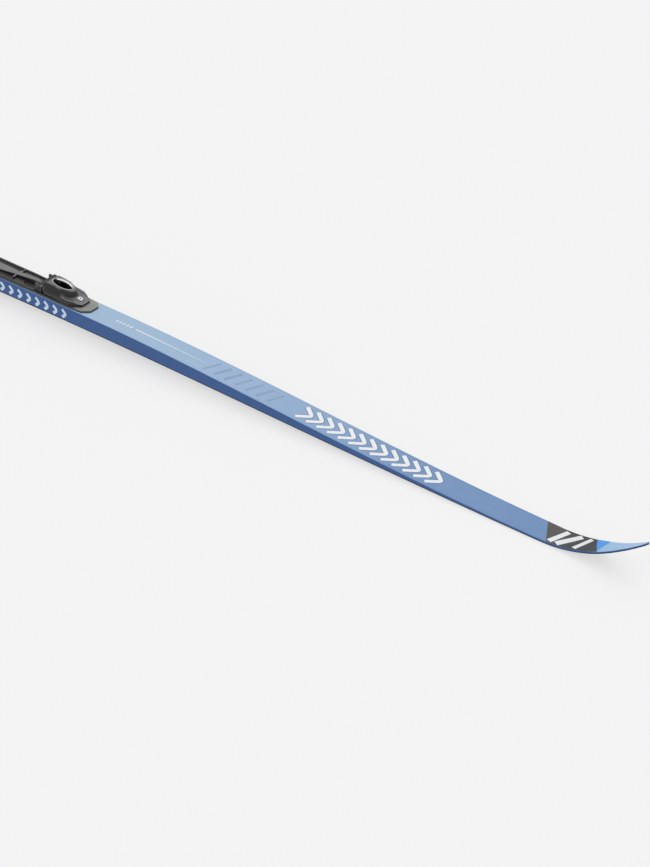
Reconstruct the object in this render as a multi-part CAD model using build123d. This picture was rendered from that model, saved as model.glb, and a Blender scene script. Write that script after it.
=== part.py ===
from build123d import *
import math
import os

# A classic cross-country ski with its boot binding, in millimetres.
# Origin: centre of the boot's toe bar. +X to the tip, +Y to the left, +Z up.

# ---- ski: overall sizes ----
SKI_LENGTH = 2020.0          # tip to tail along the floor
TIP_REACH = 1140.0           # toe bar to tip
TOE_BAR_HEIGHT = 10.0        # toe bar axis above the ski's top
MIDDLE_THICKNESS = 25.5      # base to top at the binding's front
END_THICKNESS = 4.0          # base to top past the contact points
WAIST_WIDTH = 44.0           # under the boot
SHOULDER_WIDTH = 48.0        # widest, on the forebody
TAIL_WIDTH = 45.0
CAMBER = 11.0                # how far the unloaded base arches over the floor
TIP_RISE = 59.0              # underside of the tip above the floor
TAIL_RISE = 5.0
FRONT_CONTACT_SHARE = 0.86   # of the reach from toe bar to tip, where the base touches down
REAR_CONTACT_BACK = 85.0     # tail end to the rear contact point
CAMBER_PEAK_X = 80.0         # where the arch is highest
TAPER_POWER = 2.2            # how fast the body thins away from the boot

# ---- ski: layers ----
BASE_SHEET = 1.2
LAMINATE = 0.6
TOPSHEET = 0.5
SIDEWALL = 2.2
REINFORCEMENT = 1.6          # screw-holding plate under the top laminate
GROOVE_WIDTH = 3.0
GROOVE_DEPTH = 0.8
GROOVE_MARGIN = 70.0         # groove stops this far short of the contact points
TIP_SPACER_BACK = 150.0      # tip spacer's length
TAIL_SPACER_LENGTH = 60.0
TAIL_GUARD_LENGTH = 16.0

# ---- binding base and toe bar ----
FLOOR_THICKNESS = 3.0
BASE_FRONT_X = 102.0         # front edge of the nose
BASE_NOSE_HALF = 9.0
BASE_CORNER_X = 90.0
BASE_HALF_WIDTH = 21.5
BASE_REAR_X = -10.0
CHEEK_REAR_X = -9.5          # side cheeks beside the toe bar
CHEEK_FRONT_X = 4.0
CHEEK_THICK = 2.2
CHEEK_TOP_Z = 8.0
CHEEK_DROP = 4.6             # how far their tops fall to the front
CHEEK_HOLE_R = 2.2           # drain hole in line with the toe bar
WALL_FRONT_X = 52.0          # low walls inside the lever's flanks
WALL_THICK = 1.2
WALL_INSET = 5.2             # from the lever's flank to the wall's inner face
WALL_TOP_Z = 3.0             # in front of the hinge
WALL_LOW_Z = -0.8            # behind it, below the turning flanks
TOE_BAR_R = 1.75             # the boot's steel bar
BAR_FIT = 0.10               # radial room around the bar
SADDLE_HALF_X = 4.0
SADDLE_HALF_Y = 15.0

# ---- lever ----
HINGE_X = 20.0
HINGE_Z = 9.0
HINGE_R = 1.5
DRIVE_ARM = 5.0              # hinge to drive pin
DRIVE_R = 1.2
LEVER_SWING = 70.0           # degrees from shut to open
LEVER_FRONT_X = 84.0
LEVER_REAR_X = 11.5
LEVER_HALF_WIDTH = 21.2
LEVER_NOSE_HALF = 10.0
LEVER_SHOULDER_X = 60.0
LEVER_WALL = 1.8
LEVER_TOP_HALF = 14.0
LEVER_TOP_Z = 14.6
WINDOW_X = 35.5              # centre of the oval finger window
WINDOW_LONG = 19.0           # its semi-axes
WINDOW_WIDE = 9.5
COLLAR_WIDTH = 2.6
COLLAR_PROUD = 1.1
GRIP_STRIP = 2.8
BADGE_SIZE = 6.0
BADGE_X = 72.0

# ---- latch ----
JAW_HALF = 4.9
JAW_SLIDE_GAP = 0.1
SLOT_GAP = 0.15
RUN_GAP = 0.05               # hinge pin in the lever's bores
BRACKET_SHARE = 0.547        # of the lever's half width, to the hinge bracket's inner face
BRACKET_THICK = 2.2
SPRING_R = 2.5
SPRING_WIRE = 0.4
SPRING_TURNS = 8
SPRING_REAR_X = 26.0
SPRING_FRONT_X = 46.0
CLAW_FRONT_X = 6.0
FLEXOR_FRONT_X = 9.0
FLEXOR_HALF = 15.0
FLEXOR_TOP_Z = 13.0

# ---- boot plate and heel plate ----
PLATE_FRONT_X = -10.5
PLATE_REAR_X = -150.0
PLATE_HALF_WIDTH = 21.7
PLATE_FLANGE = 2.6           # floor of the pockets
RIM_HEIGHT = 1.9             # rim above the pockets' floor
RIM_INNER = 17.6
RIDGE_FRONT_HALF = 3.4       # central ridge, which widens to the rear
RIDGE_MIDDLE_HALF = 4.8
RIDGE_REAR_HALF = 8.6
RIDGE_TOP_FRONT = 0.4        # its crest, above the toe bar axis
RIDGE_TOP_REAR = -4.6
STRUT_X = -62.0              # strut between the two pockets of a side
STRUT_HALF = 1.8
POCKET_END_GAP = 13.0        # solid plate behind the rear pockets
HEEL_FRONT_X = -205.0
HEEL_LENGTH = 85.0
HEEL_HALF_WIDTH = 19.5
HEEL_PLATE_THICK = 4.0
HEEL_PAD_THICK = 2.4

# ---- screws ----
SCREW_R = 2.6
SCREW_HEAD_R = 4.2
SCREW_DEPTH = 13.0           # below the ski's top
BASE_SCREWS = [(66.0, 0.0), (42.0, 11.0), (42.0, -11.0)]
PLATE_SCREWS = [(-38.0, 11.0), (-38.0, -11.0), (-128.0, 0.0)]
HEEL_SCREWS = [(-220.0, 0.0), (-275.0, 0.0)]

TOP_Z = -TOE_BAR_HEIGHT
TAIL_X = TIP_REACH - SKI_LENGTH
FRONT_CONTACT_X = FRONT_CONTACT_SHARE * TIP_REACH
REAR_CONTACT_X = TAIL_X + REAR_CONTACT_BACK
ZONE_FRONT_X = BASE_FRONT_X + 4.0
ZONE_REAR_X = HEEL_FRONT_X - HEEL_LENGTH - 6.0
TIP_SPACER_X = TIP_REACH - TIP_SPACER_BACK
TAIL_SPACER_X = TAIL_X + TAIL_SPACER_LENGTH
FLOOR_TOP_Z = TOP_Z + FLOOR_THICKNESS
BAR_SEAT_R = TOE_BAR_R + BAR_FIT
REST_ANGLE = math.radians(-LEVER_SWING / 2)
DRIVE_X = HINGE_X + DRIVE_ARM * math.sin(REST_ANGLE)
DRIVE_Z = HINGE_Z - DRIVE_ARM * math.cos(REST_ANGLE)
BRACKET_INNER = LEVER_HALF_WIDTH * BRACKET_SHARE
BRACKET_OUTER = BRACKET_INNER + BRACKET_THICK
SPRING_Z = FLOOR_TOP_Z + 4.2
EAR_INNER = JAW_HALF + 1.3   # lever's ears, which hold the drive pin
EAR_OUTER = EAR_INNER + 2.0
CHEEK_INNER = SADDLE_HALF_Y + 0.4
WALL_INNER = LEVER_HALF_WIDTH - WALL_INSET
WALL_REAR_X = FLEXOR_FRONT_X + 0.6
PLATE_SEAT_Z = TOP_Z + PLATE_FLANGE
RIM_TOP_Z = PLATE_SEAT_Z + RIM_HEIGHT
HEEL_SEAT_Z = TOP_Z + HEEL_PLATE_THICK + 2.0
WIDE = 40.0                  # past either edge of the ski
TALL = 160.0                 # past its height


def arch(x):
    """Share of the camber at x: one at the peak, none at the contact points."""
    end = FRONT_CONTACT_X if x > CAMBER_PEAK_X else REAR_CONTACT_X
    u = (x - CAMBER_PEAK_X) / (end - CAMBER_PEAK_X)
    return max(0.0, 1 - u * u) ** 2


GROUND_Z = TOP_Z - MIDDLE_THICKNESS - CAMBER * arch(ZONE_FRONT_X)


def base_level(x):
    """Height of the running surface."""
    if x > FRONT_CONTACT_X:
        return GROUND_Z + TIP_RISE * ((x - FRONT_CONTACT_X) / (TIP_REACH - FRONT_CONTACT_X)) ** 2
    if x < REAR_CONTACT_X:
        return GROUND_Z + TAIL_RISE * ((REAR_CONTACT_X - x) / (REAR_CONTACT_X - TAIL_X)) ** 2
    return GROUND_Z + CAMBER * arch(x)


def thinning(s):
    """Share of the middle's extra thickness that is left at s, from 0 to 1, of a taper."""
    s = min(max(s, 0.0), 1.0)
    return (1 - s) ** TAPER_POWER * (1 + TAPER_POWER * s)


def top_level(x):
    """Height of the top surface: flat under the binding, tapering to both ends."""
    if ZONE_REAR_X <= x <= ZONE_FRONT_X:
        return TOP_Z
    zone, contact = (ZONE_FRONT_X, FRONT_CONTACT_X) if x > 0 else (ZONE_REAR_X, REAR_CONTACT_X)
    extra = TOP_Z - base_level(zone) - END_THICKNESS
    return base_level(x) + END_THICKNESS + extra * thinning((x - zone) / (contact - zone))


def stations():
    """Places along the ski where its long curves are set, closer together at the ends."""
    body = [REAR_CONTACT_X + (FRONT_CONTACT_X - REAR_CONTACT_X) * i / 28 for i in range(29)]
    tail = [TAIL_X, TAIL_X + REAR_CONTACT_BACK / 3, TAIL_X + REAR_CONTACT_BACK * 2 / 3]
    tip = [FRONT_CONTACT_X + (TIP_REACH - FRONT_CONTACT_X) * i / 5 for i in range(1, 6)]
    return tail + body + tip


def stretch(level, shift, x0, x1):
    """Smooth curve of a level from x0 to x1, through the stations between them."""
    between = [x for x in stations() if x0 + 8 < x < x1 - 8]
    return Spline(*[(x, 0, level(x) + shift) for x in (x0, *between, x1)])


def long_curve(level, shift):
    """Side view of a level from tail to tip. The top has an exactly flat stretch for the binding."""
    if level is base_level:
        return [stretch(level, shift, TAIL_X, TIP_REACH)]
    rear = stretch(level, shift, TAIL_X, ZONE_REAR_X)
    front = stretch(level, shift, ZONE_FRONT_X, TIP_REACH)
    return [rear, Line(rear @ 1, front @ 0), front]


def band(low, low_shift, high, high_shift, half=WIDE):
    """Solid between two long curves, as wide as asked."""
    lower = long_curve(low, low_shift)
    upper = long_curve(high, high_shift)
    ends = [Line(lower[-1] @ 1, upper[-1] @ 1), Line(upper[0] @ 0, lower[0] @ 0)]
    return extrude(make_face([*lower, *upper, *ends]), amount=half, dir=(0, 1, 0), both=True)


def outline_prism(inset):
    """Upright solid of the ski's plan outline, drawn in from the edge by inset."""
    waist, shoulder, tail = WAIST_WIDTH / 2, SHOULDER_WIDTH / 2, TAIL_WIDTH / 2
    tip_run = TIP_REACH - FRONT_CONTACT_X
    side = [
        (TAIL_X + 5, tail * 0.6),
        (TAIL_X + 18, tail * 0.84),
        (TAIL_X + 42, tail * 0.96),
        (TAIL_X + 90, tail),
        (TAIL_X + 180, tail),
        (-330.0, waist + 0.4),
        (20.0, waist),
        (TIP_REACH * 0.45, shoulder),
        (FRONT_CONTACT_X - 20, waist + 0.4),
        (FRONT_CONTACT_X + tip_run * 0.45, waist * 0.81),
        (FRONT_CONTACT_X + tip_run * 0.8, waist * 0.38),
        (TIP_REACH - 2.5, 1.9),
    ]
    left = Spline(*[(x, max(y - inset, 0.6)) for x, y in side])
    right = Spline(*[(x, -max(y - inset, 0.6)) for x, y in side])
    tip = ThreePointArc(left @ 1, (TIP_REACH - inset, 0), right @ 1)
    tail_end = ThreePointArc(right @ 0, (TAIL_X + inset, 0), left @ 0)
    face = make_face([left, tip, right, tail_end])
    return Pos(0, 0, -TALL / 2) * extrude(face, amount=TALL)


def slab(x0, x1, y0, y1, z0, z1):
    """Box from its corners."""
    return Pos((x0 + x1) / 2, (y0 + y1) / 2, (z0 + z1) / 2) * Box(abs(x1 - x0), abs(y1 - y0), abs(z1 - z0))


def reach(x0, x1):
    """Everything between two stations along the ski."""
    return slab(x0, x1, -WIDE, WIDE, -TALL, TALL)


def side_shape(points, y0, y1):
    """Solid of a side view, from y0 to y1."""
    wire = Polyline(*[(x, 0, z) for x, z in points], close=True)
    return Pos(0, y0, 0) * extrude(make_face(wire), amount=y1 - y0, dir=(0, 1, 0))


def plan_shape(points, z0, z1):
    """Solid of a plan view, from z0 to z1."""
    wire = Polyline(*points, close=True)
    return Pos(0, 0, z0) * extrude(make_face(wire), amount=z1 - z0)


def both_sides(points):
    """Closed plan outline from the points of its left side."""
    return points + [(x, -y) for x, y in reversed(points)]


def cross_rod(x, z, r, y0, y1):
    """Round rod across the ski."""
    rod = Cylinder(r, y1 - y0, align=(Align.CENTER, Align.CENTER, Align.MIN))
    return Pos(x, y0, z) * Rot(-90, 0, 0) * rod


def mirrored(shape):
    return shape + mirror(shape, about=Plane.XZ)


def oval(long, wide, z0, z1, shift_y=0.0):
    """Upright oval prism at the lever's window."""
    return Pos(WINDOW_X, shift_y, z0) * extrude(Ellipse(long, wide), amount=z1 - z0)


def screw(x, y, seat_z):
    """Countersunk screw whose head is flush with seat_z."""
    head = Pos(0, 0, seat_z - 1.3) * Cone(SCREW_R, SCREW_HEAD_R, 2.6)
    cross = Rot(0, 0, 45) * (Box(5.0, 0.9, 1.6) + Box(0.9, 5.0, 1.6))
    bottom = TOP_Z - SCREW_DEPTH
    shank_top = seat_z - 2.6
    shank = Pos(0, 0, (bottom + shank_top) / 2) * Cylinder(SCREW_R, shank_top - bottom)
    point = Pos(0, 0, bottom - 1.5) * Cone(0.6, SCREW_R, 3.0)
    return Pos(x, y, 0) * (head + shank + point - Pos(0, 0, seat_z) * cross)


def screw_room(places, seat_z):
    """What a set of screws takes out of the pieces that they pass through."""
    room = []
    for x, y in places:
        bottom = TOP_Z - SCREW_DEPTH
        room.append(Pos(x, y, seat_z - 1.3) * Cone(SCREW_R, SCREW_HEAD_R, 2.6))
        room.append(Pos(x, y, (bottom + seat_z) / 2) * Cylinder(SCREW_R, seat_z - bottom))
        room.append(Pos(x, y, bottom - 1.5) * Cone(0.6, SCREW_R, 3.0))
    return room


ALL_SCREW_ROOM = (
    screw_room(BASE_SCREWS, FLOOR_TOP_Z)
    + screw_room(PLATE_SCREWS, PLATE_SEAT_Z)
    + screw_room(HEEL_SCREWS, HEEL_SEAT_Z)
)


# ---- ski ----

def running_base(outline):
    sheet = band(base_level, 0, base_level, BASE_SHEET) & outline
    groove = band(base_level, -1.0, base_level, GROOVE_DEPTH, GROOVE_WIDTH / 2)
    groove &= reach(REAR_CONTACT_X + GROOVE_MARGIN, FRONT_CONTACT_X - GROOVE_MARGIN)
    return sheet - groove


def topsheet(outline):
    return (band(top_level, -TOPSHEET, top_level, 0) & outline) - ALL_SCREW_ROOM


def inner_layers(inner):
    """Laminates, reinforcement plate and core between the sidewalls."""
    between = inner & reach(TAIL_SPACER_X, TIP_SPACER_X)
    low = BASE_SHEET + LAMINATE
    high = -TOPSHEET - LAMINATE
    zone = reach(ZONE_REAR_X, ZONE_FRONT_X)
    plate = (band(top_level, high - REINFORCEMENT, top_level, high) & between & zone) - ALL_SCREW_ROOM
    core = (band(base_level, low, top_level, high) & between) - ALL_SCREW_ROOM
    core -= slab(ZONE_REAR_X, ZONE_FRONT_X, -WIDE, WIDE, TOP_Z + high - REINFORCEMENT, TOP_Z + 1)
    return {
        "bottom_laminate": band(base_level, BASE_SHEET, base_level, low) & between,
        "core": core,
        "binding_reinforcement": plate,
        "top_laminate": (band(top_level, high, top_level, -TOPSHEET) & between) - ALL_SCREW_ROOM,
    }


def sidewalls(outline, inner):
    walls = band(base_level, BASE_SHEET, top_level, -TOPSHEET) & outline & reach(TAIL_SPACER_X, TIP_SPACER_X)
    walls -= inner
    return {
        "sidewall_left": walls & slab(-TALL * 9, TALL * 9, 0, WIDE, -TALL, TALL),
        "sidewall_right": walls & slab(-TALL * 9, TALL * 9, -WIDE, 0, -TALL, TALL),
    }


def end_pieces(outline):
    """Tip spacer, tail spacer and the guard let into the tail."""
    filler = band(base_level, BASE_SHEET, top_level, -TOPSHEET) & outline
    guard_reach = reach(TAIL_X - 1, TAIL_X + TAIL_GUARD_LENGTH)
    return {
        "tip_spacer": filler & reach(TIP_SPACER_X, TIP_REACH + 1),
        "tail_spacer": filler & reach(TAIL_X + TAIL_GUARD_LENGTH, TAIL_SPACER_X),
        "tail_guard": filler & guard_reach,
    }


# ---- binding base ----

def binding_base():
    plan = both_sides([
        (BASE_FRONT_X, BASE_NOSE_HALF),
        (BASE_CORNER_X, BASE_HALF_WIDTH - 2),
        (LEVER_SHOULDER_X, BASE_HALF_WIDTH),
        (BASE_REAR_X, BASE_HALF_WIDTH),
    ])
    floor = plan_shape(plan, TOP_Z, FLOOR_TOP_Z)
    floor = chamfer(floor.faces().sort_by(Axis.Z)[-1].edges(), 0.9)
    bracket = side_shape(
        [(HINGE_X - 2.6, FLOOR_TOP_Z - 1), (HINGE_X - 2.6, HINGE_Z), (HINGE_X + 2.6, HINGE_Z),
         (HINGE_X + 15, FLOOR_TOP_Z - 1)],
        BRACKET_INNER, BRACKET_OUTER)
    bracket += cross_rod(HINGE_X, HINGE_Z, 2.6, BRACKET_INNER, BRACKET_OUTER)
    bracket -= cross_rod(HINGE_X, HINGE_Z, HINGE_R, BRACKET_INNER - 1, BRACKET_OUTER + 1)
    rail = slab(FLEXOR_FRONT_X + 1, SPRING_REAR_X + 4, JAW_HALF + 0.4, JAW_HALF + 2.2,
                FLOOR_TOP_Z - 1, FLOOR_TOP_Z + 3.5)
    bulkhead = slab(SPRING_FRONT_X, SPRING_FRONT_X + 4, -6, 6, FLOOR_TOP_Z - 1, 3.0)
    nose_rest = slab(LEVER_SHOULDER_X + 14, LEVER_FRONT_X - 6, -7, 7, FLOOR_TOP_Z - 1, FLOOR_TOP_Z + 1.2)
    guide = Pos(SPRING_FRONT_X, 0, SPRING_Z) * Rot(0, -90, 0) * Cylinder(
        1.4, 9, align=(Align.CENTER, Align.CENTER, Align.MIN))
    cheek = side_shape(
        [(CHEEK_REAR_X, FLOOR_TOP_Z - 1), (CHEEK_REAR_X, CHEEK_TOP_Z - 1.6), (CHEEK_REAR_X + 1.2, CHEEK_TOP_Z),
         (CHEEK_REAR_X + 4, CHEEK_TOP_Z), (CHEEK_FRONT_X, CHEEK_TOP_Z - CHEEK_DROP),
         (CHEEK_FRONT_X, FLOOR_TOP_Z - 1)],
        CHEEK_INNER, CHEEK_INNER + CHEEK_THICK)
    cheek -= cross_rod(0, 0, CHEEK_HOLE_R, CHEEK_INNER - 1, CHEEK_INNER + CHEEK_THICK + 1)
    wall = side_shape(
        [(WALL_REAR_X, FLOOR_TOP_Z - 1), (WALL_REAR_X, WALL_LOW_Z), (HINGE_X + 1, WALL_LOW_Z),
         (HINGE_X + 4, WALL_TOP_Z), (WALL_FRONT_X, WALL_TOP_Z), (WALL_FRONT_X, FLOOR_TOP_Z - 1)],
        WALL_INNER, WALL_INNER + WALL_THICK)
    tongue = side_shape(
        [(-SADDLE_HALF_X - 0.8, FLOOR_TOP_Z - 1), (-SADDLE_HALF_X - 0.8, FLOOR_TOP_Z + 1.2),
         (BASE_REAR_X, RIDGE_TOP_FRONT - 2.8), (BASE_REAR_X, FLOOR_TOP_Z - 1)],
        -RIDGE_FRONT_HALF, RIDGE_FRONT_HALF)
    body = floor + mirrored(bracket) + mirrored(rail) + mirrored(cheek) + mirrored(wall)
    body += [bulkhead, guide, nose_rest, tongue]
    return body - screw_room(BASE_SCREWS, FLOOR_TOP_Z)


def toe_bar_saddle():
    """Steel seat that carries the boot's bar, open above and, in the middle, in front."""
    block = slab(-SADDLE_HALF_X, SADDLE_HALF_X, -SADDLE_HALF_Y, SADDLE_HALF_Y, FLOOR_TOP_Z, 0.4)
    block -= slab(-BAR_SEAT_R, BAR_SEAT_R, -WIDE, WIDE, 0, 5)
    block -= cross_rod(0, 0, BAR_SEAT_R, -WIDE, WIDE)
    return block - slab(BAR_SEAT_R, 5, -JAW_HALF - 0.5, JAW_HALF + 0.5, FLOOR_TOP_Z - 1, 5)


def latch_jaw():
    """Slider with a claw over the bar and an upright slot for the drive pin."""
    low = FLOOR_TOP_Z + JAW_SLIDE_GAP
    slide = slab(2.3, SPRING_REAR_X, -JAW_HALF, JAW_HALF, low, low + 3.6)
    claw = side_shape(
        [(2.3, low), (CLAW_FRONT_X, low), (CLAW_FRONT_X, 3.4), (CLAW_FRONT_X - 1.2, 4.4), (-1.3, 4.4),
         (-1.3, 0.6), (2.3, 0)],
        -JAW_HALF, JAW_HALF)
    claw -= cross_rod(0, 0, BAR_SEAT_R, -WIDE, WIDE)
    claw -= slab(-5, 0, -WIDE, WIDE, -5, 1.2)
    lug = slab(DRIVE_X - 3.6, DRIVE_X + 3.8, -JAW_HALF, JAW_HALF, low, 7.0)
    slot = slab(DRIVE_X - DRIVE_R - SLOT_GAP, DRIVE_X + DRIVE_R + SLOT_GAP, -WIDE, WIDE,
                HINGE_Z - DRIVE_ARM - DRIVE_R - 0.4, 20)
    seat = slab(SPRING_REAR_X - 2.5, SPRING_REAR_X, -JAW_HALF, JAW_HALF, low, SPRING_Z + 3.4)
    return slide + claw + lug + seat - slot


def jaw_spring():
    length = SPRING_FRONT_X - SPRING_REAR_X - 2 * SPRING_WIRE
    path = Helix(length / SPRING_TURNS, length, SPRING_R)
    start = Plane(origin=path @ 0, z_dir=path % 0)
    coil = sweep(start * Circle(SPRING_WIRE), path=path, is_frenet=True)
    return Pos(SPRING_REAR_X + SPRING_WIRE, 0, SPRING_Z) * Rot(0, 90, 0) * coil


def hinge_pins():
    """Two short pins, one through each bracket into the lever's boss."""
    pin = cross_rod(HINGE_X, HINGE_Z, HINGE_R, BRACKET_INNER, BRACKET_OUTER + 3.0)
    return mirrored(pin + cross_rod(HINGE_X, HINGE_Z, HINGE_R + 0.9, BRACKET_INNER - 0.8, BRACKET_INNER))


def drive_pin():
    return cross_rod(DRIVE_X, DRIVE_Z, DRIVE_R, -EAR_OUTER, EAR_OUTER)


# ---- lever ----

def lever_crest():
    """Points of the lever's top line, from its rear rim to its nose."""
    nose = LEVER_FRONT_X
    return [
        (LEVER_REAR_X, LEVER_TOP_Z - 0.9),
        (LEVER_REAR_X + 2.5, LEVER_TOP_Z),
        (HINGE_X + 14, LEVER_TOP_Z - 1.2),
        (WINDOW_X + WINDOW_LONG + 2, LEVER_TOP_Z - 3.6),
        (nose - 22, LEVER_TOP_Z - 6.4),
        (nose - 18, LEVER_TOP_Z - 11.2),
        (nose - 10, LEVER_TOP_Z - 14.2),
        (nose, LEVER_TOP_Z - 16.8),
    ]


def lever_block(wall):
    """Lever's outer form, or its hollow when wall is its wall thickness."""
    crest = [(x, z - wall) for x, z in lever_crest()]
    front = LEVER_FRONT_X - wall
    rear = LEVER_REAR_X if wall == 0 else LEVER_REAR_X - 5
    under = FLOOR_TOP_Z + 0.8 if wall == 0 else FLOOR_TOP_Z - 2
    skirt = [(front, crest[-1][1]), (front, under), (LEVER_SHOULDER_X - 20, under), (rear, under)]
    if wall == 0:
        skirt = [(front, under), (LEVER_SHOULDER_X - 8, under), (HINGE_X + 12, under + 2.5),
                 (HINGE_X - 3, HINGE_Z - 7), (rear, HINGE_Z - 2)]
        side = side_shape(crest + skirt, -WIDE, WIDE)
    else:
        inside = [(x, z) for x, z in crest if x < front] + skirt
        side = side_shape([(rear, crest[0][1] + 0.9)] + inside[1:], -WIDE, WIDE)
    half = LEVER_HALF_WIDTH - wall
    plan = both_sides([
        (front, LEVER_NOSE_HALF - wall * 0.6),
        (front - 6, LEVER_NOSE_HALF + 4 - wall * 0.8),
        (LEVER_SHOULDER_X, half - 1.2),
        (rear, half),
    ])
    top_half = LEVER_TOP_HALF - wall * 0.9
    section = Polyline(
        (0, -half, -TALL / 4), (0, -half, 1.5), (0, -top_half, LEVER_TOP_Z + 0.9),
        (0, top_half, LEVER_TOP_Z + 0.9), (0, half, 1.5), (0, half, -TALL / 4), close=True)
    ends = extrude(make_face(section), amount=TALL, dir=(1, 0, 0))
    return side & plan_shape(plan, -TALL / 4, TALL / 4) & ends


def crest_band(low, high):
    """Layer that follows the lever's top line."""
    crest = lever_crest()
    points = [(x, z + low) for x, z in crest] + [(x, z + high) for x, z in reversed(crest)]
    return side_shape(points, -WIDE, WIDE)


def lever_collar():
    ring = oval(WINDOW_LONG + COLLAR_WIDTH, WINDOW_WIDE + COLLAR_WIDTH, -5, 25)
    ring -= oval(WINDOW_LONG, WINDOW_WIDE, -6, 26)
    return ring & crest_band(-0.9, COLLAR_PROUD)


def lever_grip_strip():
    crescent = oval(WINDOW_LONG, WINDOW_WIDE, -5, 25)
    crescent -= oval(WINDOW_LONG + 1, WINDOW_WIDE, -6, 26, -GRIP_STRIP)
    crescent &= slab(WINDOW_X - WINDOW_LONG * 0.8, WINDOW_X + WINDOW_LONG * 0.8, 0, WIDE, -5, 25)
    return crescent & crest_band(-0.9, COLLAR_PROUD - 0.3)


def lever_badge():
    half = BADGE_SIZE / 2
    return slab(BADGE_X - half, BADGE_X + half, -half, half, -10, 20) & crest_band(-0.4, 0.4)


def lever():
    shell = lever_block(0) - lever_block(LEVER_WALL)
    boss = cross_rod(HINGE_X, HINGE_Z, 3.4, BRACKET_OUTER + 0.3, BRACKET_OUTER + 6) & lever_block(0)
    ear = side_shape(
        [(LEVER_REAR_X + 2.5, LEVER_TOP_Z - 1), (DRIVE_X - 3, DRIVE_Z - 2.4), (DRIVE_X + 3, DRIVE_Z - 2.4),
         (HINGE_X + 3, LEVER_TOP_Z - 1)],
        EAR_INNER, EAR_OUTER)
    body = shell + mirrored(boss) + mirrored(ear)
    body -= cross_rod(HINGE_X, HINGE_Z, HINGE_R + RUN_GAP, -BRACKET_OUTER - 3.2, BRACKET_OUTER + 3.2)
    body -= cross_rod(DRIVE_X, DRIVE_Z, DRIVE_R, -EAR_OUTER - 1, EAR_OUTER + 1)
    body -= oval(WINDOW_LONG, WINDOW_WIDE, 0, 25)
    ring = oval(WINDOW_LONG + COLLAR_WIDTH, WINDOW_WIDE + COLLAR_WIDTH, 0, 25)
    body -= ring & crest_band(-0.9, 10)
    return body - lever_badge()


def flexor():
    """Rubber bumper that the boot's toe rolls against, with ribs across it."""
    rear = BAR_SEAT_R + 0.75
    profile = [(SADDLE_HALF_X + 0.4, FLOOR_TOP_Z), (FLEXOR_FRONT_X, FLOOR_TOP_Z),
               (FLEXOR_FRONT_X, FLEXOR_TOP_Z - 0.6), (FLEXOR_FRONT_X - 1.4, FLEXOR_TOP_Z),
               (rear + 1.2, FLEXOR_TOP_Z), (rear, FLEXOR_TOP_Z - 1.4), (rear, 1.0),
               (SADDLE_HALF_X + 0.4, 1.0)]
    block = side_shape(profile, -FLEXOR_HALF, FLEXOR_HALF)
    block -= slab(0, 20, -JAW_HALF - 1.2, JAW_HALF + 1.2, FLOOR_TOP_Z - 1, 5.6)
    core = slab(0, 20, -FLEXOR_HALF + 1.2, FLEXOR_HALF - 1.2, -20, FLEXOR_TOP_Z - 1.3)
    for x in (rear + 1.5, rear + 3.6, rear + 5.7):
        if x + 0.8 < FLEXOR_FRONT_X:
            block -= slab(x, x + 0.8, -WIDE, WIDE, 2.0, 20) - core
    return block


# ---- boot plate and heel plate ----

def boot_plate():
    """Low ridge that steers the boot's sole, between two rims, with sunk pockets and a strut on each side."""
    front, rear = PLATE_FRONT_X, PLATE_REAR_X
    pocket_rear = rear + POCKET_END_GAP
    plate = plan_shape(both_sides([
        (front, PLATE_HALF_WIDTH - 1), (front - 30, PLATE_HALF_WIDTH),
        (rear + 30, PLATE_HALF_WIDTH), (rear, PLATE_HALF_WIDTH - 5)]), TOP_Z, RIM_TOP_Z)
    plate = chamfer(plate.faces().sort_by(Axis.Z)[-1].edges(), 0.8)
    for x0, x1 in ((STRUT_X + STRUT_HALF, front + 5), (pocket_rear, STRUT_X - STRUT_HALF)):
        plate -= slab(x0, x1, -RIM_INNER, RIM_INNER, PLATE_SEAT_Z, WIDE)
    ridge = plan_shape(both_sides([
        (front, RIDGE_FRONT_HALF), (STRUT_X, RIDGE_MIDDLE_HALF), (STRUT_X - 33, RIDGE_REAR_HALF - 0.6),
        (rear + 12, RIDGE_REAR_HALF), (rear + 4, RIDGE_REAR_HALF - 2.6)]), TOP_Z, WIDE)
    ridge &= side_shape([
        (front, TOP_Z), (front, RIDGE_TOP_FRONT - 2.6), (front - 4.5, RIDGE_TOP_FRONT),
        (front - 15, RIDGE_TOP_FRONT - 0.2), (STRUT_X, RIDGE_TOP_FRONT - 3.4), (STRUT_X - 33, RIDGE_TOP_REAR),
        (rear + 10, RIDGE_TOP_REAR - 0.4), (rear + 4, RIM_TOP_Z), (rear + 4, TOP_Z)], -WIDE, WIDE)
    outline = Polyline(
        (0, 0, TOP_Z), (0, RIM_INNER + 1, TOP_Z), (0, RIM_INNER + 1, RIM_TOP_Z),
        (0, RIDGE_MIDDLE_HALF - 0.6, RIDGE_TOP_FRONT - 3.8), (0, 0, RIDGE_TOP_FRONT - 3.8), close=True)
    strut = Pos(STRUT_X - STRUT_HALF, 0, 0) * extrude(make_face(outline), amount=2 * STRUT_HALF, dir=(1, 0, 0))
    return plate + ridge + mirrored(strut) - screw_room(PLATE_SCREWS, PLATE_SEAT_Z)


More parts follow.
